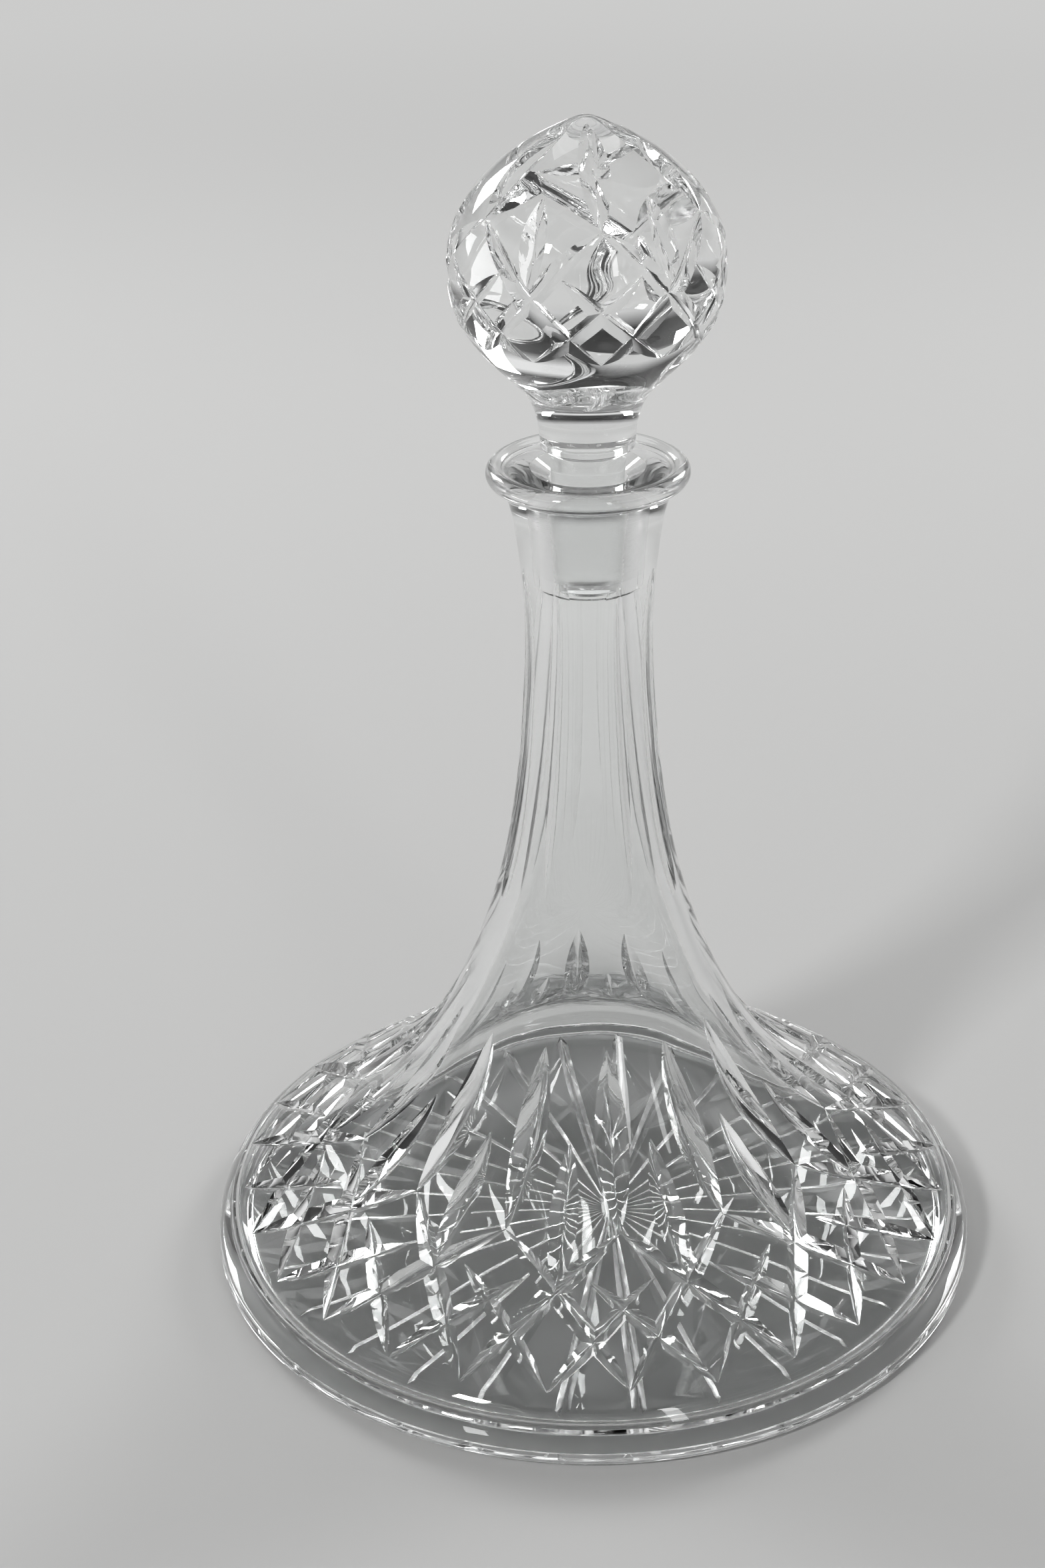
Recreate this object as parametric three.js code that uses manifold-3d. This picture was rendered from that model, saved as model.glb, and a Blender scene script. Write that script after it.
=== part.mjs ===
// Cut-glass ship's decanter with a ball stopper.
// Millimetres, +Z up, origin at the middle of the underside.
// Azimuths are in degrees from -Y, the front, towards +X.

import * as THREE from "three";
import { mergeVertices } from "three/addons/utils/BufferGeometryUtils.js";
import Module from "manifold-3d";

const wasm = await Module();
wasm.setup();

// Driving dimensions of the body
const baseRadius = 93;
const footRadius = 2.2; // small round under the edge of the base
const heelRadius = 13; // large round over the edge of the base
const heelHeight = 4.2;
const heelSweep = 54;
const flangeRadius = 22.5;
const flangeHeight = 199.8; // middle of the drip ring
const flangeThickness = 4.4;
const dishRadius = 18.9; // inside the rim, the top of the drip ring is dished
const dishDepth = 0.8;
const mouthRadius = 12.7;
const mouthHeight = 200.8;
const socketTop = 198.2;
const ringRadius = 84.2; // inside edge of the flat ring that it stands on
const recessDepth = 2.3; // the underside inside the ring is this much higher
const recessRun = 1.5; // and the wall of that recess leans in by this
const cavityRadius = 87;
const cavityFloor = 5; // height of the cavity's floor by its wall
const floorRise = 2.5; // and how much higher it is in the middle
const cornerRadius = 3; // round between the floor of the cavity and its wall
const cornerSweep = 56;

// Shoulder and neck outside, as radius and height
const shoulderSweep = [
  [87.64, 14.72],
  [73.9, 25.0],
  [60.0, 35.1],
  [46.8, 46.6],
  [36.2, 61.0],
  [27.3, 80.0],
  [20.9, 101.0],
  [16.8, 125.0],
  [14.9, 148.0],
  [14.5, 168.0],
  [16.2, 186.0],
  [18.2, 195.4],
];

// Shoulder and neck inside, from the lowest wide point up to the ground socket
const cavitySweep = [
  [78.0, 15.5],
  [70.6, 20.5],
  [56.5, 30.7],
  [42.7, 42.8],
  [31.4, 58.2],
  [22.1, 78.0],
  [15.4, 99.7],
  [11.0, 124.4],
  [8.8, 148.0],
  [7.7, 166.0],
];

// Ground joint between stopper and neck
const plugTopRadius = 8.1;
const plugFootRadius = 7.1;
const plugFoot = 174;
const plugBevel = 1;
const jointGap = 0.3;

// Ball, waist and collar of the stopper above the plug
const ballSweep = [
  [8.1, 199.4],
  [8.4, 204.9],
  [10.4, 206.4],
  [10.6, 208.9],
  [11.1, 212.4],
  [13.2, 217.7],
  [18.2, 223.3],
  [24.2, 229.8],
  [28.2, 236.4],
  [29.7, 245.5],
  [29.3, 251.5],
  [26.6, 258.4],
  [21.2, 265.4],
  [12.5, 272.2],
  [4.5, 276.3],
  [0, 277.7],
];

// Pattern on the shoulder
const bodyRepeats = 14;
const bodyTurn = 5.85;
const bodyRows = {
  longTop: 69.9,
  shortTop: 51.5,
  peak: 37.4,
  valley: 28.4,
  tip: 15.4,
  shortEnd: 30.6,
  shortReach: 0.75, // how far round a short diagonal runs, in repeats
};
const bodyDepths = { longLeaf: 2.7, shortLeaf: 2.2, longDiagonal: 1.9, shortDiagonal: 1.6 };
const neckFlutes = 8;
const fluteTurn = -1.2;
const fluteTop = 180;
const fluteFoot = 97.5;
const fluteDepth = 0.9;
const starRays = 28;
const starTurn = 7.25;
const starHub = [4.5, -4]; // where the rays meet, off the axis as the photo shows it
const starInner = 2.5;
const starRadius = 82;
const starDepth = 1;

// Pattern on the ball
const ballRepeats = 6;
const ballTurn = 6;
const ballRows = {
  longTop: 276.9,
  shortTop: 265.5,
  peak: 260.2,
  valley: 247.6,
  tip: 232.6,
  shortEnd: 251.4,
  shortReach: 0.78,
};
const ballDepths = { longLeaf: 2.2, shortLeaf: 1.9, longDiagonal: 1.7, shortDiagonal: 1.5 };

// Mitre wheels by the half angle of their edge, and the round-edged wheel of the flutes.
// Wheels reach this far out of the glass.
const leafHalfAngle = 56;
const latticeHalfAngle = 52;
const starHalfAngle = 56;
const fluteWheelRadius = 11;
const fluteSpread = 32;
const wheelReach = 5;
const overrun = 0.05; // a cutter runs on past both ends of its cut by this share

// Facets round each turned surface, and steps along a cut
const bodyFacets = 44;
const cavityFacets = 28;
const stopperFacets = 36;
const latticeSteps = 4;
const fluteSteps = 7;
const starShares = [0.03, 0.18, 0.45, 1];

const glass = { color: 0xe9eeee, roughness: 0.03, metalness: 0 };

function vec(x, y) {
  return new THREE.Vector2(x, y);
}

// Points of a smooth curve through a list of radius and height pairs
function smooth(pairs, steps) {
  return new THREE.SplineCurve(pairs.map(([r, z]) => vec(r, z))).getPoints(steps);
}

// Points of an arc about a centre, angles in degrees from the outward radius
function arc(r, z, radius, from, to, steps) {
  const points = [];
  for (let i = 0; i <= steps; i += 1) {
    const angle = THREE.MathUtils.degToRad(from + ((to - from) * i) / steps);
    points.push(vec(r + radius * Math.cos(angle), z + radius * Math.sin(angle)));
  }
  return points;
}

// A profile in radius and height, turned about Z into a closed solid
function turned(profile, facets) {
  const geometry = new THREE.LatheGeometry(profile, facets);
  geometry.rotateX(Math.PI / 2);
  return solid(geometry);
}

// A manifold solid from a closed geometry
function solid(geometry) {
  geometry.deleteAttribute("normal");
  geometry.deleteAttribute("uv");
  const merged = mergeVertices(geometry, 1e-4);
  const position = merged.getAttribute("position");
  const triVerts = [];
  for (let i = 0; i < merged.index.count; i += 3) {
    const [a, b, c] = [0, 1, 2].map((k) => merged.index.getX(i + k));
    if (a !== b && b !== c && c !== a) {
      triVerts.push(a, b, c);
    }
  }
  return new wasm.Manifold(
    new wasm.Mesh({
      numProp: 3,
      vertProperties: new Float32Array(position.array),
      triVerts: new Uint32Array(triVerts),
    }),
  );
}

// A named mesh from a manifold solid
function glassMesh(name, body) {
  const mesh = body.getMesh();
  const geometry = new THREE.BufferGeometry();
  geometry.setAttribute("position", new THREE.BufferAttribute(mesh.vertProperties, mesh.numProp));
  geometry.setIndex(new THREE.BufferAttribute(mesh.triVerts, 1));
  geometry.computeVertexNormals();
  const piece = new THREE.Mesh(geometry, new THREE.MeshStandardMaterial(glass));
  piece.name = name;
  return piece;
}

// A point at an azimuth, a radius and a height
function around(azimuth, radius, height) {
  const angle = THREE.MathUtils.degToRad(azimuth);
  return new THREE.Vector3(radius * Math.sin(angle), -radius * Math.cos(angle), height);
}

// The outline's radius at a height
function radiusAt(outline, height) {
  const next = outline.findIndex((point) => point.y > height);
  const a = outline[next - 1];
  const b = outline[next];
  return THREE.MathUtils.mapLinear(height, a.y, b.y, a.x, b.x);
}

// The spot of the turned surface nearest to a point, with its outward normal
function nearestSpot(outline, point) {
  const radius = Math.hypot(point.x, point.y);
  const here = vec(radius, point.z);
  let best = 1;
  for (let i = 1; i < outline.length - 1; i += 1) {
    if (outline[i].distanceTo(here) < outline[best].distanceTo(here)) {
      best = i;
    }
  }
  const tangent = outline[best + 1].clone().sub(outline[best - 1]).normalize();
  const azimuth = THREE.MathUtils.radToDeg(Math.atan2(point.x, -point.y));
  return {
    spot: around(azimuth, outline[best].x, outline[best].y),
    normal: around(azimuth, tangent.y, -tangent.x),
  };
}

// The section of a mitre wheel: a V with its edge at the origin
function mitreSection(halfAngle) {
  const side = wheelReach * Math.tan(THREE.MathUtils.degToRad(halfAngle));
  return [vec(0, 0), vec(side, wheelReach), vec(-side, wheelReach)];
}

// The section of a round-edged wheel: an arc with its lowest point at the origin
function hollowSection(radius, spread, steps) {
  const points = arc(0, radius, radius, -90 - spread, -90 + spread, steps);
  return [...points, vec(points[steps].x, wheelReach), vec(points[0].x, wheelReach)];
}

// A section carried along stations of floor, normal and side, closed at both ends
function sweptCutter(stations, section) {
  const count = section.length;
  const positions = [];
  const index = [];
  for (const { floor, normal, side } of stations) {
    for (const corner of section) {
      const p = floor.clone().addScaledVector(side, corner.x).addScaledVector(normal, corner.y);
      positions.push(p.x, p.y, p.z);
    }
  }
  for (let s = 0; s < stations.length - 1; s += 1) {
    for (let c = 0; c < count; c += 1) {
      const a = s * count + c;
      const b = s * count + ((c + 1) % count);
      index.push(a, b, b + count, a, b + count, a + count);
    }
  }
  const last = (stations.length - 1) * count;
  for (let c = 1; c < count - 1; c += 1) {
    index.push(0, c + 1, c, last, last + c, last + c + 1);
  }
  const geometry = new THREE.BufferGeometry();
  geometry.setAttribute("position", new THREE.Float32BufferAttribute(positions, 3));
  geometry.setIndex(index);
  const cutter = solid(geometry);
  return cutter.volume() > 0 ? cutter : solid(flipped(geometry));
}

// The same closed geometry with its faces turned round
function flipped(geometry) {
  const index = Array.from(geometry.index.array);
  geometry.setIndex(index.reverse());
  return geometry;
}

// One wheel cut between two places on an outline. The floor lies a depth under the surface
// that grows from nothing at both ends, so the cut comes to a point there.
function wheelCut(outline, from, to, depth, fullness, section, steps) {
  const a = around(from.azimuth, radiusAt(outline, from.height), from.height);
  const b = around(to.azimuth, radiusAt(outline, to.height), to.height);
  const floors = [];
  const normals = [];
  for (let i = 0; i <= steps; i += 1) {
    const t = -overrun + ((1 + 2 * overrun) * i) / steps;
    const { spot, normal } = nearestSpot(outline, a.clone().lerp(b, t));
    const down = depth * (1 - Math.abs(2 * t - 1) ** fullness);
    floors.push(spot.addScaledVector(normal, -down));
    normals.push(normal);
  }
  const stations = floors.map((floor, i) => {
    const before = floors[Math.max(i - 1, 0)];
    const after = floors[Math.min(i + 1, steps)];
    const along = after.clone().sub(before).normalize();
    const side = along.clone().cross(normals[i]).normalize();
    return { floor, normal: side.clone().cross(along), side };
  });
  return sweptCutter(stations, section);
}

// The cuts of one lattice: leaves that hang from above, long diagonals that run from the
// foot of a long leaf down past the foot of the next short leaf, and short diagonals
// that rise from the tips between them.
function latticeCuts(outline, lattice) {
  const { repeats, turn, rows, depths } = lattice;
  const leafSection = mitreSection(leafHalfAngle);
  const latticeSection = mitreSection(latticeHalfAngle);
  const at = (azimuth, height) => ({ azimuth, height });
  const pitch = 360 / repeats;
  const cuts = [];
  for (let i = 0; i < repeats; i += 1) {
    const azimuth = turn + i * pitch;
    const between = azimuth + pitch / 2;
    cuts.push(
      wheelCut(outline, at(azimuth, rows.longTop), at(azimuth, rows.peak), depths.longLeaf, 2,
        leafSection, latticeSteps),
      wheelCut(outline, at(between, rows.shortTop), at(between, rows.valley), depths.shortLeaf, 2,
        leafSection, latticeSteps),
    );
    for (const hand of [-1, 1]) {
      const far = azimuth + hand * pitch;
      const end = between + hand * pitch * rows.shortReach;
      cuts.push(
        wheelCut(outline, at(azimuth, rows.peak), at(far, rows.tip), depths.longDiagonal, 2.4,
          latticeSection, latticeSteps),
        wheelCut(outline, at(end, rows.shortEnd), at(between, rows.tip), depths.shortDiagonal, 2.4,
          latticeSection, latticeSteps),
      );
    }
  }
  return cuts;
}

// All solids of a list as one
function joined(solids) {
  return solids.reduce((sum, next) => sum.add(next));
}

// The body: a turned outside and inside, then the wheel cuts
function decanterBody() {
  const rim = flangeThickness / 2;
  const sweep = smooth(shoulderSweep, shoulderSweep.length - 1);
  const dishHeight = flangeHeight + rim - dishDepth;
  const socketRadius = plugTopRadius + jointGap;
  const flareRun = mouthRadius - socketRadius;
  const flareRise = mouthHeight - socketTop;
  const outside = [
    vec(0, recessDepth),
    vec(ringRadius - recessRun, recessDepth),
    vec(ringRadius, 0),
    ...arc(baseRadius - footRadius, footRadius, footRadius, -90, 0, 2),
    ...arc(baseRadius - heelRadius, heelHeight, heelRadius, 0, heelSweep, 4),
    ...sweep.slice(1),
    ...arc(flangeRadius - rim, flangeHeight, rim, -90, 90, 4),
    vec(dishRadius, dishHeight),
    vec(mouthRadius, mouthHeight),
    vec(0, mouthHeight),
  ];
  const cornerMiddle = cavityRadius - cornerRadius;
  const inside = [
    vec(0, cavityFloor + floorRise),
    vec(cavityRadius / 2, cavityFloor + floorRise * 0.75),
    ...arc(cornerMiddle, cavityFloor + cornerRadius, cornerRadius, -90, cornerSweep, 4),
    ...smooth(cavitySweep, cavitySweep.length - 1),
    vec(plugFootRadius + jointGap, plugFoot),
    vec(socketRadius, socketTop),
    vec(mouthRadius + flareRun, mouthHeight + flareRise),
    vec(0, mouthHeight + flareRise),
  ];
  const outline = smooth(shoulderSweep, 600);
  outline.unshift(...arc(baseRadius - heelRadius, heelHeight, heelRadius, 0, heelSweep, 60).slice(0, -1));
  const lattice = latticeCuts(outline, {
    repeats: bodyRepeats,
    turn: bodyTurn,
    rows: bodyRows,
    depths: bodyDepths,
  });
  const blank = turned(outside, bodyFacets).subtract(turned(inside, cavityFacets));
  return blank.subtract(joined([...lattice, ...flutes(outline), ...starCuts()]));
}

// Hollow flutes down the neck
function flutes(outline) {
  const section = hollowSection(fluteWheelRadius, fluteSpread, 3);
  return Array.from({ length: neckFlutes }, (_, i) => {
    const azimuth = fluteTurn + ((i + 0.5) * 360) / neckFlutes;
    const top = { azimuth, height: fluteTop };
    const foot = { azimuth, height: fluteFoot };
    return wheelCut(outline, top, foot, fluteDepth, 3, section, fluteSteps);
  });
}

// Rays of the star under the base, each a mitre cut that deepens from the hub outwards
function starCuts() {
  const section = mitreSection(starHalfAngle);
  const down = new THREE.Vector3(0, 0, -1);
  const hub = new THREE.Vector3(...starHub, recessDepth);
  return Array.from({ length: starRays }, (_, i) => {
    const end = around(starTurn + (i * 360) / starRays, starRadius, recessDepth);
    const way = end.clone().sub(hub).normalize();
    const start = hub.clone().addScaledVector(way, starInner);
    const side = new THREE.Vector3(-way.y, way.x, 0);
    const ray = starShares.map((t) => {
      const floor = start.clone().lerp(end, t);
      floor.z += starDepth * (1 - (1 - t) ** 4);
      return { floor, normal: down, side };
    });
    return sweptCutter(ray, section);
  });
}

// The stopper: a turned ball, waist and tapered plug, then the wheel cuts on the ball
function ballStopper() {
  const ball = smooth(ballSweep, ballSweep.length - 1);
  const profile = [
    vec(0, plugFoot),
    vec(plugFootRadius - plugBevel, plugFoot),
    vec(plugFootRadius, plugFoot + plugBevel),
    ...ball,
  ];
  const lattice = latticeCuts(smooth(ballSweep, 600), {
    repeats: ballRepeats,
    turn: ballTurn,
    rows: ballRows,
    depths: ballDepths,
  });
  return turned(profile, stopperFacets).subtract(joined(lattice));
}

const decanter = new THREE.Group();
decanter.name = "ships_decanter";
decanter.add(glassMesh("decanter_body", decanterBody()));
decanter.add(glassMesh("stopper", ballStopper()));

export default decanter;
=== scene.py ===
# A cut-crystal ship's decanter and its ball stopper, dressed for rendering.
# Profiles and cuts are written in millimetres and become metres as they enter a mesh.
# Azimuths are in degrees from -Y, the side that the camera sees, towards +X.

import math

import bpy
import numpy as np
from mathutils import Matrix, Vector


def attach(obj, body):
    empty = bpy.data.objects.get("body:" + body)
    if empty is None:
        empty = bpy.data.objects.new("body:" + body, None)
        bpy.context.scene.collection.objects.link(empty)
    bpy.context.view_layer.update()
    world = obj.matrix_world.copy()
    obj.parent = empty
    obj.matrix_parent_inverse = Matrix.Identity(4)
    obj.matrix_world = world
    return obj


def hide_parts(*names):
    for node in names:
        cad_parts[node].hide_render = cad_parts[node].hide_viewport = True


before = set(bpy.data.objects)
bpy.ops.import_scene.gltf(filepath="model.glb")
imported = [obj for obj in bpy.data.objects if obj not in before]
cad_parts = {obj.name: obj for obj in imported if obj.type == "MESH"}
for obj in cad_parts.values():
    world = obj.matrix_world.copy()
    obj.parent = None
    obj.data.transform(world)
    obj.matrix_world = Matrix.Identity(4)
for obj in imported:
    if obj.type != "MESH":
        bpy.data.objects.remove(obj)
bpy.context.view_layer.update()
mm = 0.001
print("frame loaded:", len(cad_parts), "nodes")


# Lines in radius and height. A line is an array of rows (r, z, nr, nz), the last two its
# outward normal, which lies to the right of the way that the line runs.


# Straight line: both coordinates run evenly from a to b
def straightLine(a, b, count):
    share = np.linspace(0, 1, count)[:, None]
    points = np.array(a) * (1 - share) + np.array(b) * share
    way = np.subtract(b, a) / np.linalg.norm(np.subtract(b, a))
    normal = np.broadcast_to([way[1], -way[0]], points.shape)
    return np.hstack([points, normal])


# Arc: centre plus radius times (cos, sin) of an angle that runs evenly from start to end
def arcLine(centre, radius, start, end, count):
    angle = np.radians(np.linspace(start, end, count))
    outward = np.stack([np.cos(angle), np.sin(angle)], axis=1)
    return np.hstack([np.array(centre) + radius * outward, outward * np.sign(end - start)])


# Spline: a cubic on each span of chord length whose second derivatives agree at the points.
# Its end slopes are unit ways where they are given, and free where they aren't.
def splineLine(points, count, startWay=None, endWay=None):
    points = np.array(points, float)
    gap = np.linalg.norm(np.diff(points, axis=0), axis=1)
    slope = np.diff(points, axis=0) / gap[:, None]
    size = len(points)
    rows = np.zeros((size, size))
    right = np.zeros((size, 2))
    inner = np.arange(1, size - 1)
    rows[inner, inner - 1] = gap[1:]
    rows[inner, inner] = 2 * (gap[:-1] + gap[1:])
    rows[inner, inner + 1] = gap[:-1]
    right[inner] = 3 * (gap[1:, None] * slope[:-1] + gap[:-1, None] * slope[1:])
    for end, near, way, chord in ((0, 1, startWay, slope[0]), (size - 1, size - 2, endWay, slope[-1])):
        rows[end, end] = 1 if way is not None else 2
        if way is None:
            rows[end, near] = 1
        right[end] = 3 * chord if way is None else np.array(way) / np.linalg.norm(way)
    tangent = np.linalg.solve(rows, right)
    knots = np.concatenate([[0], np.cumsum(gap)])
    at = np.linspace(0, knots[-1], count)
    span = np.clip(np.searchsorted(knots, at, side="right") - 1, 0, size - 2)
    h = gap[span][:, None]
    u = (at - knots[span])[:, None] / h
    p, q = points[span], points[span + 1]
    v, w = tangent[span] * h, tangent[span + 1] * h
    where = p * (1 + 2 * u) * (1 - u) ** 2 + v * u * (1 - u) ** 2
    where = where + q * u**2 * (3 - 2 * u) + w * u**2 * (u - 1)
    way = 6 * u * (u - 1) * (p - q) + v * (1 - u) * (1 - 3 * u) + w * u * (3 * u - 2)
    way = way / np.linalg.norm(way, axis=1, keepdims=True)
    return np.hstack([where, np.stack([way[:, 1], -way[:, 0]], axis=1)])


# Rounded corner: the arc of a radius that touches both the line a-b and the line b-c
def roundedCorner(a, b, c, radius, count=5):
    a, b, c = (np.array(x, float) for x in (a, b, c))
    before = (b - a) / np.linalg.norm(b - a)
    after = (c - b) / np.linalg.norm(c - b)
    cross = before[0] * after[1] - before[1] * after[0]
    turn = math.asin(abs(cross))
    touch = b - before * radius * math.tan(turn / 2)
    side = np.sign(cross) * np.array([-before[1], before[0]])
    centre = touch + side * radius
    start = math.degrees(math.atan2(*(touch - centre)[::-1]))
    return arcLine(centre, radius, start, start + math.degrees(turn) * np.sign(cross), count)


# One line out of several, without the doubled points where they meet
def joinLines(parts):
    line = np.vstack(parts)
    doubled = 1e-5  # closer than this is one point
    apart = np.linalg.norm(np.diff(line[:, :2], axis=0), axis=1) > doubled
    return line[np.concatenate([[True], apart])]


# Nearest place: for each (r, z) the closest point of any span of the line, and the normal
# there, blended between the span's ends
def nearestOnLine(line, r, z):
    a, b = line[:-1, :2], line[1:, :2]
    way = b - a
    dr, dz = r[..., None] - a[:, 0], z[..., None] - a[:, 1]
    u = np.clip((dr * way[:, 0] + dz * way[:, 1]) / (way**2).sum(1), 0, 1)
    off = (dr - u * way[:, 0]) ** 2 + (dz - u * way[:, 1]) ** 2
    best = off.argmin(-1)
    share = np.take_along_axis(u, best[..., None], -1)
    found = line[best] * (1 - share) + line[best + 1] * share
    found[..., 2:] /= np.linalg.norm(found[..., 2:], axis=-1, keepdims=True)
    return found, np.sqrt(np.take_along_axis(off, best[..., None], -1)[..., 0])


# Turning: (r, z) at an azimuth is (r sin, -r cos, z)
def turnedPoint(azimuth, r, z):
    angle = np.radians(azimuth)
    return np.stack(np.broadcast_arrays(r * np.sin(angle), -r * np.cos(angle), z), axis=-1)


# A mesh object from points in millimetres and lists of faces
def makePiece(name, points, faces):
    mesh = bpy.data.meshes.new(name)
    mesh.from_pydata((points * mm).tolist(), [], faces)
    mesh.update()
    piece = bpy.data.objects.new(name, mesh)
    bpy.context.scene.collection.objects.link(piece)
    return piece


# Lathe: a grid of the line's rows by even turns, its first and last row one point each on
# the axis, so the surface closes
def lathePiece(name, line, segments):
    rows = line[1:-1]
    azimuth = np.arange(segments) * 360 / segments
    grid = turnedPoint(azimuth[None, :], rows[:, :1], rows[:, 1:2])
    ends = np.array([[0, 0, line[0, 1]], [0, 0, line[-1, 1]]])
    points = np.vstack([grid.reshape(-1, 3), ends])
    i, j = np.meshgrid(np.arange(len(rows) - 1), np.arange(segments), indexing="ij")
    k = (j + 1) % segments
    low, high = i * segments, (i + 1) * segments
    quads = np.stack([low + j, low + k, high + k, high + j], axis=-1).reshape(-1, 4)
    around = np.arange(segments)
    after = (around + 1) % segments
    first, last = len(points) - 2, len(points) - 1
    top = (len(rows) - 1) * segments
    caps = [
        np.stack([np.full(segments, first), after, around], axis=-1),
        np.stack([np.full(segments, last), top + around, top + after], axis=-1),
    ]
    return makePiece(name, points, quads.tolist() + np.vstack(caps).tolist())


# Mitre section: a hyperbola, height = sqrt((x / tan half angle)^2 + tip^2) - tip, so the V
# of the wheel has a slightly rounded edge. Its points lie closer together near the edge.
def mitreSection(reach, halfAngle, tip=0.12):
    slope = math.tan(math.radians(halfAngle))
    shares = np.array([-1, -0.4, -0.13, -0.04, 0.04, 0.13, 0.4, 1])
    width = np.sqrt((reach + tip) ** 2 - tip**2) * slope
    x = width[..., None] * shares
    y = np.sqrt((x / slope) ** 2 + tip**2) - tip
    return x, y


# Hollow section: the part of a circle of the wheel's radius that is lower than reach
def hollowSection(reach, radius, count=11):
    angle = np.arccos(1 - reach / radius)[..., None] * np.linspace(-1, 1, count)
    return radius * np.sin(angle), radius * (1 - np.cos(angle))


# Wheel shells: a section carried along each cut of a family as one closed shell that comes
# to a point at both ends. floors and normals are (cuts, stations, 3), reach is (cuts, stations).
def wheelShells(name, floors, normals, reach, section):
    along = np.gradient(floors, axis=1)
    side = np.cross(along, normals)
    side /= np.linalg.norm(side, axis=-1, keepdims=True)
    rise = np.cross(side, along)
    rise /= np.linalg.norm(rise, axis=-1, keepdims=True)
    x, y = section(reach[:, 1:-1])
    rings = floors[:, 1:-1, None] + x[..., None] * side[:, 1:-1, None] + y[..., None] * rise[:, 1:-1, None]
    cuts, stations, corners = rings.shape[:3]
    shell = np.concatenate([rings.reshape(cuts, -1, 3), floors[:, :1], floors[:, -1:]], axis=1)
    s, c = np.meshgrid(np.arange(stations - 1), np.arange(corners), indexing="ij")
    d = (c + 1) % corners
    quads = np.stack([s * corners + c, s * corners + d, (s + 1) * corners + d, (s + 1) * corners + c], -1)
    around = np.arange(corners)
    after = (around + 1) % corners
    end = (stations - 1) * corners
    tips = np.vstack([
        np.stack([np.full(corners, stations * corners), after, around], -1),
        np.stack([np.full(corners, stations * corners + 1), end + around, end + after], -1),
    ])
    quads = quads.reshape(-1, 4)
    halves = np.vstack([quads[:, [0, 1, 2]], quads[:, [0, 2, 3]], tips])
    a, b, e = (shell[0][halves[:, n]] for n in range(3))
    if (a * np.cross(b, e)).sum() < 0:
        halves = halves[:, ::-1]
    offset = (np.arange(cuts) * shell.shape[1])[:, None, None]
    faces = (halves[None] + offset).reshape(-1, 3)
    return makePiece(name, shell.reshape(-1, 3), faces.tolist())


# Wheel path: floor = the place on the glass nearest to the chord at t, sunk along the
# normal by depth * (1 - |2t - 1|^fullness). It starts and ends where that is the margin
# above the glass. Stations are closer together near the ends, except for the even share.
def wheelPath(line, start, end, depth, fullness, margin=0.35, stations=25, even=0.35):
    depth = np.array(depth)[:, None]
    extent = (1 + margin / depth) ** (1 / fullness)
    spread = -np.cos(np.linspace(0, math.pi, stations))
    t = 0.5 + 0.5 * extent * (even * np.linspace(-1, 1, stations) + (1 - even) * spread)
    ends = []
    for azimuth, height in (start, end):
        ends.append(turnedPoint(azimuth, np.interp(height, line[:, 1], line[:, 0]), height)[:, None])
    chord = ends[0] * (1 - t[..., None]) + ends[1] * t[..., None]
    azimuth = np.degrees(np.arctan2(chord[..., 0], -chord[..., 1]))
    found, _ = nearestOnLine(line, np.hypot(chord[..., 0], chord[..., 1]), chord[..., 2])
    spot = turnedPoint(azimuth, found[..., 0], found[..., 1])
    normal = turnedPoint(azimuth, found[..., 2], found[..., 3])
    down = depth * (1 - np.abs(2 * t - 1) ** fullness)
    return spot - normal * down[..., None], normal, down + margin


# Takes each cutter away from the blank in turn and keeps the result as its mesh
def cutAway(blank, cutters):
    for cutter in cutters:
        step = blank.modifiers.new(cutter.name, "BOOLEAN")
        step.operation = "DIFFERENCE"
        step.solver = "MANIFOLD"
        step.object = cutter
    graph = bpy.context.evaluated_depsgraph_get()
    mesh = bpy.data.meshes.new_from_object(blank.evaluated_get(graph), depsgraph=graph)
    blank.modifiers.clear()
    blank.data = mesh
    for cutter in cutters:
        bpy.data.objects.remove(cutter)
    mesh.name = blank.name
    mesh.materials.clear()


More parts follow.
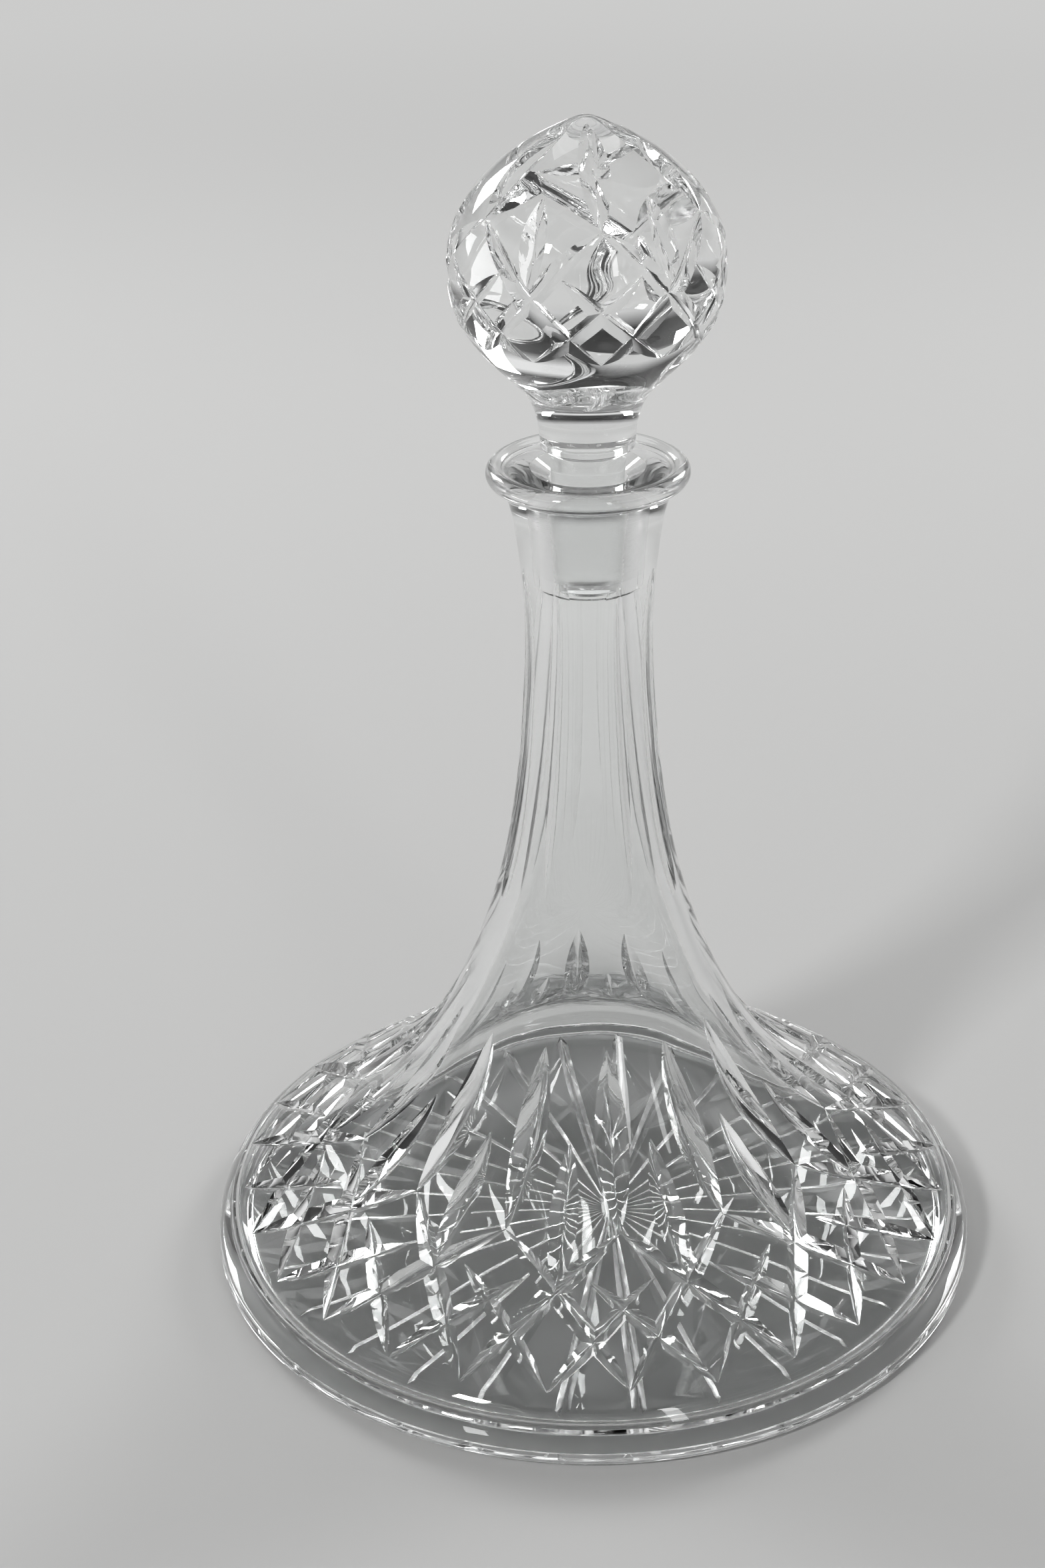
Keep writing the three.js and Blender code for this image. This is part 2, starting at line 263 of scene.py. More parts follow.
# Tells turned faces (material slot 0) from wheel-cut ones (1), the ground taper (2) and the
# satin star (3). A face is turned if it lies on the line and faces the same way. Turned
# corners get the line's own normals; cut corners keep their fan's, broken where faces turn
# sharply.
def finishSurface(piece, line, groundHeights, starTop=0.0, groundRadius=10.0, sharpAngle=14):
    onLine, sameWay, upright, batch = 0.06, 0.985, 0.2, 20000
    mesh = piece.data
    count = len(mesh.polygons)
    points = np.empty(len(mesh.vertices) * 3)
    mesh.vertices.foreach_get("co", points)
    points = points.reshape(-1, 3) / mm
    centre, facing = np.empty(count * 3), np.empty(count * 3)
    mesh.polygons.foreach_get("center", centre)
    mesh.polygons.foreach_get("normal", facing)
    centre, facing = centre.reshape(-1, 3) / mm, facing.reshape(-1, 3)
    r = np.hypot(centre[:, 0], centre[:, 1])
    turned = np.zeros(count, bool)
    for part in np.array_split(np.arange(count), max(count // batch, 1)):
        found, off = nearestOnLine(line, r[part], centre[part, 2])
        azimuth = np.degrees(np.arctan2(centre[part, 0], -centre[part, 1]))
        normal = turnedPoint(azimuth, found[:, 2], found[:, 3])
        turned[part] = (off < onLine) & ((normal * facing[part]).sum(1) > sameWay)
    mesh.polygons.foreach_set("use_smooth", np.ones(count, bool))
    matt = (centre[:, 2] > groundHeights[0]) & (centre[:, 2] < groundHeights[1]) & (r < groundRadius)
    matt &= np.abs(facing[:, 2]) < upright
    satin = ~turned & (centre[:, 2] < starTop)
    slots = np.select([matt, satin, turned], [2, 3, 0], 1)
    mesh.polygons.foreach_set("material_index", slots.astype(np.int32))
    mesh.set_sharp_from_angle(angle=math.radians(sharpAngle))
    corners = len(mesh.loops)
    cornerVert, cornerEdge = np.empty(corners, np.int32), np.empty(corners, np.int32)
    mesh.loops.foreach_get("vertex_index", cornerVert)
    mesh.loops.foreach_get("edge_index", cornerEdge)
    starts, totals = np.empty(count, np.int32), np.empty(count, np.int32)
    mesh.polygons.foreach_get("loop_start", starts)
    mesh.polygons.foreach_get("loop_total", totals)
    cornerFace = np.repeat(np.arange(count), totals)[np.argsort(np.repeat(starts, totals), kind="stable")]
    touching = np.zeros(len(mesh.edges)), np.zeros(len(mesh.edges))
    np.add.at(touching[0], cornerEdge, turned[cornerFace])
    np.add.at(touching[1], cornerEdge, ~turned[cornerFace])
    sharp = np.empty(len(mesh.edges), bool)
    mesh.edges.foreach_get("use_edge_sharp", sharp)
    mesh.edges.foreach_set("use_edge_sharp", sharp | ((touching[0] > 0) & (touching[1] > 0)))
    mesh.update()
    normals = np.empty(corners * 3, np.float32)
    mesh.corner_normals.foreach_get("vector", normals)
    normals = normals.reshape(-1, 3)
    smooth = turned[cornerFace]
    where = points[cornerVert[smooth]]
    flat = np.hypot(where[:, 0], where[:, 1])
    azimuth = np.degrees(np.arctan2(where[:, 0], -where[:, 1]))
    exact = np.empty_like(where)
    for part in np.array_split(np.arange(len(where)), max(len(where) // batch, 1)):
        found, _ = nearestOnLine(line, flat[part], where[part, 2])
        exact[part] = turnedPoint(azimuth[part], found[:, 2], found[:, 3])
    normals[smooth] = exact
    mesh.normals_split_custom_set(normals)
    print(piece.name, "faces:", count, "cut:", int((~turned).sum()), "corners:", corners)


# Lattice families: leaves that hang from above, long diagonals from the foot of a long leaf
# down to the point under the next one, and short diagonals that rise from the points
# between. Every crossing is moved a little, as by hand, and the cuts that share it move too.
def latticeCutters(name, line, lattice, chance):
    count = lattice["repeats"]
    pitch = 360 / count
    azimuth = lattice["turn"] + np.arange(count) * pitch
    between = azimuth + pitch / 2

    def crossing(turn, height):
        sway = chance.normal(0, lattice["sway"], (2, count))
        radius = np.interp(height, line[:, 1], line[:, 0])
        return turn + np.degrees(sway[0] / radius), height + sway[1]

    peak = crossing(azimuth, lattice["peak"])
    valley = crossing(between, lattice["valley"])
    longTip = crossing(azimuth, lattice["tip"])
    shortTip = crossing(between, lattice["tip"])
    longTop = crossing(azimuth, lattice["longTop"])
    shortTop = crossing(between, lattice["shortTop"])
    depths = {}
    for kind, depth in lattice["depths"].items():
        depths[kind] = depth * chance.uniform(*lattice["depthSpread"], count)

    def family(word, start, end, kind, fullness, angle):
        path = wheelPath(line, start, end, depths[kind], fullness)
        return wheelShells(name + word, *path, lambda reach: mitreSection(reach, angle))

    leafAngle, fullness, angle = lattice["leafAngle"], lattice["fullness"], lattice["diagonalAngle"]
    leafFullness = lattice["leafFullness"]
    cutters = [
        family("LongLeaf", longTop, peak, "longLeaf", leafFullness, leafAngle),
        family("ShortLeaf", shortTop, valley, "shortLeaf", leafFullness, leafAngle),
    ]
    for hand, word in ((1, "Right"), (-1, "Left")):
        landing = [np.roll(part, -hand) for part in longTip]
        beside = crossing(between + hand * pitch * lattice["shortReach"], lattice["shortEnd"])
        cutters.append(family("Long" + word, peak, landing, "longDiagonal", fullness, angle))
        cutters.append(family("Short" + word, beside, shortTip, "shortDiagonal", fullness, angle))
    return cutters


# The body: a turned blank with its cavity, then the lattice, the neck flutes and the star
body = {
    "segments": 192,
    "baseRadius": 93.0,
    "footRound": 2.2,
    "heelRound": 13.0,
    "heelHeight": 4.2,
    "heelSweep": 54.0,
    "shoulder": [
        (87.64, 14.72), (73.9, 25.0), (60.0, 35.1), (46.8, 46.6), (36.2, 61.0), (27.3, 80.0),
        (20.9, 101.0), (16.8, 125.0), (14.9, 148.0), (14.5, 168.0), (16.2, 186.0), (18.2, 195.0),
    ],
    "rimRadius": 22.5,
    "rimHeight": 199.8,
    "rimRound": 2.2,
    "dish": [(19.0, 201.5), (17.9, 201.15), (15.5, 200.95)],
    "mouth": (12.7, 200.8),
    "socketTop": (8.4, 198.2),
    "socketFoot": (7.4, 174.0),
    "ledge": (6.95, 173.5),
    "ground": (177.2, 197.9),  # heights between which socket and plug are matt
    "cavity": [
        (7.4, 166.0), (8.6, 148.0), (11.0, 124.4), (15.4, 99.7), (22.1, 78.0), (31.4, 58.2),
        (42.7, 42.8), (56.5, 30.7), (70.6, 20.5), (78.0, 15.5),
    ],
    "cavityRadius": 87.0,
    "cornerRound": 3.0,
    "cornerSweep": 56.0,
    "floor": 5.0,
    "floorRise": 2.5,
    "ringRadius": 84.2,
    "recess": 2.3,
    "recessRun": 1.5,
    "rounds": {"recess": 1.2, "ring": 0.9, "lip": 0.5, "throat": 0.6, "ledge": 0.3},
    "flutes": 8,
    "fluteTurn": -1.2,
    "fluteTop": 180.0,
    "fluteFoot": 97.5,
    "fluteDepth": 0.9,
    "fluteWheel": 11.0,
    "fluteFullness": 3,
    "fluteSpread": (0.95, 1.05),
    "fluteSway": (0.25, 3.0, 4.0),  # degrees, then mm for each degree at the top and foot
    "starRays": 28,
    "starHub": (4.5, -4.0),
    "starTurn": 7.25,
    "starInner": 2.5,
    "starRadius": 82.0,
    "starDepth": 1.0,
    "starAngle": 56.0,
    "starSway": 0.15,
    "seed": 7,
}
bodyLattice = {
    "repeats": 14,
    "turn": 5.85,
    "longTop": 69.9,
    "shortTop": 51.5,
    "peak": 37.4,
    "valley": 28.4,
    "tip": 15.4,
    "shortEnd": 30.6,
    "shortReach": 0.75,
    "depths": {"longLeaf": 2.7, "shortLeaf": 2.2, "longDiagonal": 1.9, "shortDiagonal": 1.6},
    "leafAngle": 56.0,
    "diagonalAngle": 52.0,
    "leafFullness": 2,
    "fullness": 2.4,
    "sway": 0.3,
    "depthSpread": (0.94, 1.05),
}


# The line of the body from the middle of the base, up the outside, over the drip ring and
# down the inside to the middle of the cavity's floor
def bodyLines(p):
    sweep = math.radians(p["heelSweep"])
    heelWay = (-math.sin(sweep), math.cos(sweep))
    rimStart = (p["rimRadius"] - p["rimRound"], p["rimHeight"] - p["rimRound"])
    rimEnd = (rimStart[0], p["rimHeight"] + p["rimRound"])
    rounds = p["rounds"]
    lip = roundedCorner(p["dish"][-1], p["mouth"], p["socketTop"], rounds["lip"])
    throat = roundedCorner(p["mouth"], p["socketTop"], p["socketFoot"], rounds["throat"])
    foot = roundedCorner(p["socketTop"], p["socketFoot"], p["ledge"], rounds["ledge"])
    ledge = roundedCorner(p["socketFoot"], p["ledge"], p["cavity"][0], rounds["ledge"])
    side = joinLines([
        arcLine((p["baseRadius"] - p["heelRound"], p["heelHeight"]), p["heelRound"], 0, p["heelSweep"], 16),
        splineLine(p["shoulder"] + [rimStart], 96, heelWay, (1, 0)),
    ])
    cornerCentre = (p["cavityRadius"] - p["cornerRound"], p["floor"] + p["cornerRound"])
    corner = arcLine(cornerCentre, p["cornerRound"], p["cornerSweep"], -90, 14)
    halfWay = (p["cavityRadius"] / 2, p["floor"] + p["floorRise"] * 0.75)
    middle = (0, p["floor"] + p["floorRise"])
    footRadius = p["baseRadius"] - p["footRound"]
    wallTop, wallFoot = (p["ringRadius"] - p["recessRun"], p["recess"]), (p["ringRadius"], 0)
    under = roundedCorner((0, p["recess"]), wallTop, wallFoot, rounds["recess"])
    inner = roundedCorner(wallTop, wallFoot, (footRadius, 0), rounds["ring"])
    line = joinLines([
        straightLine((0, p["recess"]), under[0, :2], 12),
        under,
        straightLine(under[-1, :2], inner[0, :2], 2),
        inner,
        straightLine(inner[-1, :2], (footRadius, 0), 3),
        arcLine((footRadius, p["footRound"]), p["footRound"], -90, 0, 8),
        side,
        arcLine((rimStart[0], p["rimHeight"]), p["rimRound"], -90, 90, 20),
        splineLine([rimEnd] + p["dish"] + [tuple(lip[0, :2])], 16, (-1, 0),
                   np.subtract(p["mouth"], p["dish"][-1])),
        lip,
        straightLine(lip[-1, :2], throat[0, :2], 3),
        throat,
        straightLine(throat[-1, :2], foot[0, :2], 24),
        foot,
        straightLine(foot[-1, :2], ledge[0, :2], 2),
        ledge,
        splineLine([tuple(ledge[-1, :2])] + p["cavity"] + [tuple(corner[0, :2])], 90,
                   np.subtract(p["cavity"][0], p["ledge"]), corner[0, [3, 2]] * (-1, 1)),
        corner,
        splineLine([tuple(corner[-1, :2]), halfWay, middle], 24, (-1, 0), (-1, 0)),
    ])
    return line, side


# Neck flutes: eight hollow cuts side by side down the neck
def fluteCutter(line, p, chance):
    count = p["flutes"]
    azimuth = p["fluteTurn"] + (np.arange(count) + 0.5) * 360 / count
    spread, topSway, footSway = p["fluteSway"]
    sway = chance.normal(0, spread, (2, count))
    depth = p["fluteDepth"] * chance.uniform(*p["fluteSpread"], count)
    top = (azimuth, p["fluteTop"] + topSway * sway[0])
    foot = (azimuth + sway[1], p["fluteFoot"] + footSway * sway[1])
    path = wheelPath(line, top, foot, depth, p["fluteFullness"], stations=33)
    return wheelShells("flutes", *path, lambda reach: hollowSection(reach, p["fluteWheel"]))


# Star: rays from a hub near the middle of the base out to the ring, whose floor rises into
# the glass by depth * (1 - (1 - t)^4) from the hub and falls steeply over the last
# millimetre, in four families of rays that don't touch. Stations lie closer together near
# the hub, by the power gather.
def starCutters(p, chance, margin=0.3, stations=25, families=4, gather=1.3):
    t = np.concatenate([[0], np.linspace(0.03, 1, stations - 1) ** gather])
    hub = np.array([*p["starHub"], 0.0])
    cutters = []
    for first in range(families):
        azimuth = p["starTurn"] + np.arange(first, p["starRays"], families) * 360 / p["starRays"]
        azimuth = azimuth + chance.normal(0, p["starSway"], len(azimuth))
        length = p["starRadius"] + chance.normal(0, p["starSway"], len(azimuth))
        ray = turnedPoint(azimuth, length, 0.0) - hub
        reach = np.linalg.norm(ray, axis=1)
        along = p["starInner"] + (reach[:, None] - p["starInner"]) * t
        rise = p["starDepth"] * (1 - (1 - t) ** 4) * np.sqrt(np.clip(reach[:, None] - along, 0, 1))
        floors = hub + ray[:, None] * (along / reach[:, None])[..., None]
        floors[..., 2] = p["recess"] + rise
        down = np.broadcast_to([0.0, 0.0, -1.0], floors.shape)
        cutters.append(wheelShells("star" + str(first), floors, down, rise + margin,
            lambda reach: mitreSection(reach, p["starAngle"])))
    return cutters


chance = np.random.RandomState(body["seed"])
bodyLine, bodySide = bodyLines(body)
decanter = lathePiece("decanter", bodyLine, body["segments"])
cutAway(decanter, latticeCutters("body", bodySide, bodyLattice, chance)
        + [fluteCutter(bodySide, body, chance)] + starCutters(body, chance))
starTop = body["recess"] + body["starDepth"] + 0.1
finishSurface(decanter, bodyLine, body["ground"], starTop)

# The stopper: a turned ball on a waist, with a tapered plug, and its own lattice
stopper = {
    "segments": 160,
    "plugFoot": (6.1, 174.0),
    "bevel": (7.1, 175.0),
    "plugTop": (8.4, 205.0),
    "collarFoot": (10.4, 206.0),
    "ball": [
        (10.6, 208.9), (11.1, 212.4), (13.2, 217.7), (18.2, 223.3), (24.2, 229.8), (28.2, 236.4),
        (29.7, 245.5), (29.3, 251.5), (26.6, 258.4), (21.2, 265.4), (12.5, 272.2), (4.5, 276.3),
        (0.0, 277.7),
    ],
    "rounds": {"foot": 0.4, "bevel": 0.4, "shank": 0.5, "collar": 0.6},
    "seed": 11,
}
ballLattice = {
    "repeats": 6,
    "turn": 6.0,
    "longTop": 276.7,
    "shortTop": 265.5,
    "peak": 260.2,
    "valley": 247.6,
    "tip": 232.6,
    "shortEnd": 251.4,
    "shortReach": 0.78,
    "depths": {"longLeaf": 2.2, "shortLeaf": 1.9, "longDiagonal": 1.7, "shortDiagonal": 1.5},
    "leafAngle": 56.0,
    "diagonalAngle": 52.0,
    "leafFullness": 2,
    "fullness": 2.4,
    "sway": 0.2,
    "depthSpread": (0.94, 1.05),
}


# The line of the stopper from the middle of the plug's foot up to the top of the ball
def stopperLines(p):
    rounds = p["rounds"]
    foot = roundedCorner((0, p["plugFoot"][1]), p["plugFoot"], p["bevel"], rounds["foot"])
    bevel = roundedCorner(p["plugFoot"], p["bevel"], p["plugTop"], rounds["bevel"])
    shank = roundedCorner(p["bevel"], p["plugTop"], p["collarFoot"], rounds["shank"])
    collar = roundedCorner(p["plugTop"], p["collarFoot"], p["ball"][0], rounds["collar"])
    ball = splineLine([tuple(collar[-1, :2])] + p["ball"], 110,
                      np.subtract(p["ball"][0], p["collarFoot"]), (-1, 0))
    line = joinLines([
        straightLine((0, p["plugFoot"][1]), foot[0, :2], 6),
        foot,
        straightLine(foot[-1, :2], bevel[0, :2], 2),
        bevel,
        straightLine(bevel[-1, :2], shank[0, :2], 36),
        shank,
        straightLine(shank[-1, :2], collar[0, :2], 2),
        collar,
        ball,
    ])
    return line, ball


chance = np.random.RandomState(stopper["seed"])
stopperLine, ballSide = stopperLines(stopper)
ballStopper = lathePiece("ballStopper", stopperLine, stopper["segments"])
cutAway(ballStopper, latticeCutters("ball", ballSide, ballLattice, chance))
finishSurface(ballStopper, stopperLine, body["ground"])


# Shader groups


# A new node group with its inputs and outputs made from (name, kind, value) and (name, kind)
def shaderGroup(name, inputs, outputs):
    group = bpy.data.node_groups.new(name, "ShaderNodeTree")
    for label, kind, value in inputs:
        socket = group.interface.new_socket(label, in_out="INPUT", socket_type=kind)
        if value is not None:
            socket.default_value = value
    for label, kind in outputs:
        group.interface.new_socket(label, in_out="OUTPUT", socket_type=kind)
    return group, group.nodes.new("NodeGroupInput"), group.nodes.new("NodeGroupOutput")


# A node with its properties and plain socket values, and links into it
def addNode(tree, kind, links=(), **values):
    node = tree.nodes.new(kind)
    for key, value in values.items():
        if hasattr(node, key):
            setattr(node, key, value)
        else:
            node.inputs[key.replace("_", " ")].default_value = value
    for socket, source in links:
        tree.links.new(source, node.inputs[socket])
    return node


# Handling marks: a roughness that rises from Clean to Marked in soft patches and in thin specks
def makeHandling():
    group, enter, leave = shaderGroup("handlingMarks", [
        ("Vector", "NodeSocketVector", None),
        ("Patch Scale", "NodeSocketFloat", 22.0),
        ("Speck Scale", "NodeSocketFloat", 240.0),
        ("Clean", "NodeSocketFloat", 0.0),
        ("Marked", "NodeSocketFloat", 0.06),
        ("Specks", "NodeSocketFloat", 0.25),
    ], [("Roughness", "NodeSocketFloat")])
    patch = addNode(group, "ShaderNodeTexNoise", [("Vector", enter.outputs["Vector"]),
        ("Scale", enter.outputs["Patch Scale"])], Detail=5.0, Roughness=0.62)
    soft = addNode(group, "ShaderNodeMapRange", [("Value", patch.outputs["Fac"]),
        ("To Min", enter.outputs["Clean"]), ("To Max", enter.outputs["Marked"])],
        From_Min=0.5, From_Max=0.78)
    cells = addNode(group, "ShaderNodeTexVoronoi", [("Vector", enter.outputs["Vector"]),
        ("Scale", enter.outputs["Speck Scale"])])
    dot = addNode(group, "ShaderNodeMapRange", [("Value", cells.outputs["Distance"])],
        From_Min=0.05, From_Max=0.10, To_Min=1.0, To_Max=0.0)
    rare = addNode(group, "ShaderNodeTexNoise", [("Vector", enter.outputs["Vector"])], Scale=60.0)
    some = addNode(group, "ShaderNodeMapRange", [("Value", rare.outputs["Fac"])],
        From_Min=0.58, From_Max=0.64)
    both = addNode(group, "ShaderNodeMath", [(0, dot.outputs[0]), (1, some.outputs[0])],
        operation="MULTIPLY")
    strong = addNode(group, "ShaderNodeMath", [(0, both.outputs[0]), (1, enter.outputs["Specks"])],
        operation="MULTIPLY")
    total = addNode(group, "ShaderNodeMath", [(0, soft.outputs[0]), (1, strong.outputs[0])],
        operation="ADD")
    group.links.new(total.outputs[0], leave.inputs["Roughness"])
    return group


# Soft waves: the height of slow waves left in glass by blowing and fire polish
def makeWaves():
    group, enter, leave = shaderGroup("softWaves", [
        ("Vector", "NodeSocketVector", None),
        ("Scale", "NodeSocketFloat", 40.0),
        ("Fine Scale", "NodeSocketFloat", 600.0),
        ("Fine Share", "NodeSocketFloat", 0.02),
    ], [("Height", "NodeSocketFloat")])
    slow = addNode(group, "ShaderNodeTexNoise", [("Vector", enter.outputs["Vector"]),
        ("Scale", enter.outputs["Scale"])], Detail=1.0, Roughness=0.4)
    fine = addNode(group, "ShaderNodeTexNoise", [("Vector", enter.outputs["Vector"]),
        ("Scale", enter.outputs["Fine Scale"])], Detail=2.0)
    share = addNode(group, "ShaderNodeMath", [(0, fine.outputs["Fac"]), (1, enter.outputs["Fine Share"])],
        operation="MULTIPLY")
    total = addNode(group, "ShaderNodeMath", [(0, slow.outputs["Fac"]), (1, share.outputs[0])],
        operation="ADD")
    group.links.new(total.outputs[0], leave.inputs["Height"])
    return group


# Grinding rings: the height of fine lines round the axis, with grain between them
def makeRings():
    group, enter, leave = shaderGroup("grindingRings", [
        ("Vector", "NodeSocketVector", None),
        ("Ring Scale", "NodeSocketFloat", 2600.0),
        ("Grain Scale", "NodeSocketFloat", 2200.0),
    ], [("Height", "NodeSocketFloat"), ("Grain", "NodeSocketFloat")])
    parts = addNode(group, "ShaderNodeSeparateXYZ", [(0, enter.outputs["Vector"])])
    rings = addNode(group, "ShaderNodeTexNoise", [("W", parts.outputs["Z"]),
        ("Scale", enter.outputs["Ring Scale"])], noise_dimensions="1D", Detail=3.0)
    grain = addNode(group, "ShaderNodeTexNoise", [("Vector", enter.outputs["Vector"]),
        ("Scale", enter.outputs["Grain Scale"])], Detail=2.0)
    total = addNode(group, "ShaderNodeMath", [(0, rings.outputs["Fac"]), (1, grain.outputs["Fac"])],
        operation="ADD")
    group.links.new(total.outputs[0], leave.inputs["Height"])
    group.links.new(grain.outputs["Fac"], leave.inputs["Grain"])
    return group


handling, waves, rings = makeHandling(), makeWaves(), makeRings()

crystal = {
    "colour": (0.985, 0.992, 0.99, 1.0),
    "ior": 1.545,
    "groundRoughness": (0.16, 0.26),
}


# A glass material: Principled glass whose roughness and bump come from the groups
def crystalMaterial(name, roughness, height, strength, distance):
    material = bpy.data.materials.new(name)
    material.use_nodes = True
    tree = material.node_tree
    tree.nodes.clear()
    place = addNode(tree, "ShaderNodeTexCoord")
    glass = addNode(tree, "ShaderNodeBsdfPrincipled", Base_Color=crystal["colour"], IOR=crystal["ior"],
        Transmission_Weight=1.0, Metallic=0.0)
    addNode(tree, "ShaderNodeOutputMaterial", [("Surface", glass.outputs["BSDF"])])
    group, values, output = roughness
    marks = addNode(tree, "ShaderNodeGroup", node_tree=group)
    tree.links.new(place.outputs["Object"], marks.inputs["Vector"])
    for key, value in values.items():
        marks.inputs[key].default_value = value
    rough = marks.outputs[output]
    if output == "Grain":
        low, high = crystal["groundRoughness"]
        rough = addNode(tree, "ShaderNodeMapRange", [("Value", rough)], From_Min=0.3, From_Max=0.7,
            To_Min=low, To_Max=high).outputs[0]
    tree.links.new(rough, glass.inputs["Roughness"])
    group, values = height
    relief = addNode(tree, "ShaderNodeGroup", node_tree=group)
    tree.links.new(place.outputs["Object"], relief.inputs["Vector"])
    for key, value in values.items():
        relief.inputs[key].default_value = value
    bump = addNode(tree, "ShaderNodeBump", [("Height", relief.outputs["Height"])], Strength=strength,
        Distance=distance)
    tree.links.new(bump.outputs["Normal"], glass.inputs["Normal"])
    return material


polished = crystalMaterial("polishedCrystal",
    (handling, {"Clean": 0.0, "Marked": 0.035, "Specks": 0.2}, "Roughness"),
    (waves, {"Scale": 45.0, "Fine Scale": 500.0, "Fine Share": 0.004}),
    strength=1.0, distance=0.00025)
wheelCut = crystalMaterial("wheelCutCrystal",
    (handling, {"Clean": 0.0, "Marked": 0.12, "Patch Scale": 90.0, "Specks": 0.2}, "Roughness"),
    (waves, {"Scale": 180.0, "Fine Scale": 1400.0, "Fine Share": 0.05}),
    strength=1.0, distance=0.00008)
ground = crystalMaterial("groundCrystal", (rings, {}, "Grain"), (rings, {}),
    strength=0.6, distance=0.00002)
satin = crystalMaterial("satinCrystal",
    (handling, {"Clean": 0.12, "Marked": 0.22, "Patch Scale": 60.0, "Specks": 0.1}, "Roughness"),
    (waves, {"Scale": 180.0, "Fine Scale": 1400.0, "Fine Share": 0.05}),
    strength=1.0, distance=0.00008)
for piece, rider, node in ((decanter, "vessel", "decanter_body"), (ballStopper, "stopper", "stopper")):
    for material in (polished, wheelCut, ground, satin):
        piece.data.materials.append(material)
    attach(piece, rider)
    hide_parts(node)
print("materials made")

# The studio: a pale floor, soft boxes and a pale surround
studio = {
    "floorColour": (0.58, 0.58, 0.575, 1.0),
    "floorReach": (50.0, 9000.0),  # first and last ring, in mm
    "floorRings": 20,
    "floorSpokes": 64,
    "floorHeight": -0.25,
    "farColour": (0.60, 0.60, 0.595, 1.0),
    "farBlend": (0.45, 1.5),
    # height of a direction, and the brightness of the surround that glass shows there
    "bands": [
        (0.0, 0.60), (0.06, 0.30), (0.12, 0.02), (0.30, 0.04), (0.38, 0.8), (0.46, 0.8), (0.54, 0.04),
        (0.85, 0.25),
    ],
    "fill": 0.25,
    "boxes": [
        # name, place, aim, size, power
        ("keyBox", (-0.8, -1.0, 1.15), (0, 0, 0.08), (0.2, 0.2), 10.0),
        ("topBox", (0.0, 0.7, 1.3), (0, 0, 0.1), (1.0, 0.6), 3.0),
        ("windowBox", (0.7, -1.6, 0.95), (0, 0, 0.14), (0.14, 0.9), 2.5),
        ("rimBox", (0.82, 0.97, 0.79), (0, 0, 0.03), (0.38, 0.5), 6.2),
        ("backBox", (-0.82, 0.97, 0.79), (0, 0, 0.03), (0.38, 0.5), 6.2),
    ],
}


# 1 for rays from the camera and for rays that glass turns or mirrors, 0 for light on the piece
def seenDirectly(tree):
    path = addNode(tree, "ShaderNodeLightPath")
    straight = addNode(tree, "ShaderNodeMath", [(0, path.outputs["Is Camera Ray"]),
        (1, path.outputs["Is Glossy Ray"])], operation="MAXIMUM")
    through = addNode(tree, "ShaderNodeMath", [(0, straight.outputs[0]),
        (1, path.outputs["Is Transmission Ray"])], operation="MAXIMUM")
    return through.outputs[0]


# Floor: a disc of rings whose radius grows by the same share, so the faces near the piece are
# small. Far off it keeps one colour, where it meets the surround.
def makeFloor(p):
    count, spokes, height = p["floorRings"], p["floorSpokes"], p["floorHeight"]
    radius = np.geomspace(*p["floorReach"], count)
    azimuth = np.arange(spokes) * 360 / spokes
    grid = turnedPoint(azimuth[None, :], radius[:, None], height).reshape(-1, 3)
    points = np.vstack([grid, [[0, 0, height]]])
    i, j = np.meshgrid(np.arange(count - 1) * spokes, np.arange(spokes), indexing="ij")
    k = (j + 1) % spokes
    quads = np.stack([i + j, i + spokes + j, i + spokes + k, i + k], -1).reshape(-1, 4)
    around = np.arange(spokes)
    middle = np.stack([np.full(spokes, len(points) - 1), around, (around + 1) % spokes], -1)
    floor = makePiece("floor", points, quads.tolist() + middle.tolist())
    material = bpy.data.materials.new("paleFloor")
    material.use_nodes = True
    tree = material.node_tree
    paint = tree.nodes["Principled BSDF"]
    paint.inputs["Roughness"].default_value = 0.85
    paint.inputs["Specular IOR Level"].default_value = 0.15
    place = addNode(tree, "ShaderNodeTexCoord")
    cloud = addNode(tree, "ShaderNodeTexNoise", [("Vector", place.outputs["Object"])],
        Scale=3.0, Detail=4.0)
    light = tuple(min(c * 1.03, 1.0) for c in p["floorColour"][:3]) + (1.0,)
    shade = addNode(tree, "ShaderNodeMix", [("Factor", cloud.outputs["Fac"])], data_type="RGBA")
    shade.inputs[6].default_value, shade.inputs[7].default_value = p["floorColour"], light
    tree.links.new(shade.outputs[2], paint.inputs["Base Color"])
    span = addNode(tree, "ShaderNodeVectorMath", [(0, place.outputs["Object"])], operation="LENGTH")
    start, end = p["farBlend"]
    far = addNode(tree, "ShaderNodeMapRange", [("Value", span.outputs["Value"])],
        interpolation_type="SMOOTHSTEP", From_Min=start, From_Max=end)
    share = addNode(tree, "ShaderNodeMath", [(0, far.outputs[0]), (1, seenDirectly(tree))],
        operation="MULTIPLY")
    glow = addNode(tree, "ShaderNodeEmission", Color=p["farColour"], Strength=1.0)
    both = addNode(tree, "ShaderNodeMixShader", [(0, share.outputs[0]), (1, paint.outputs["BSDF"]),
        (2, glow.outputs[0])])
    tree.links.new(both.outputs[0], tree.nodes["Material Output"].inputs["Surface"])
    floor.data.materials.append(material)


makeFloor(studio)
for name, place, aim, size, power in studio["boxes"]:
    lamp = bpy.data.lights.new(name, "AREA")
    lamp.shape = "RECTANGLE"
    lamp.size, lamp.size_y = size
    lamp.energy = power
    box = bpy.data.objects.new(name, lamp)
    box.location = place
    box.rotation_euler = (Vector(aim) - Vector(place)).to_track_quat("-Z", "Y").to_euler()
    bpy.context.scene.collection.objects.link(box)

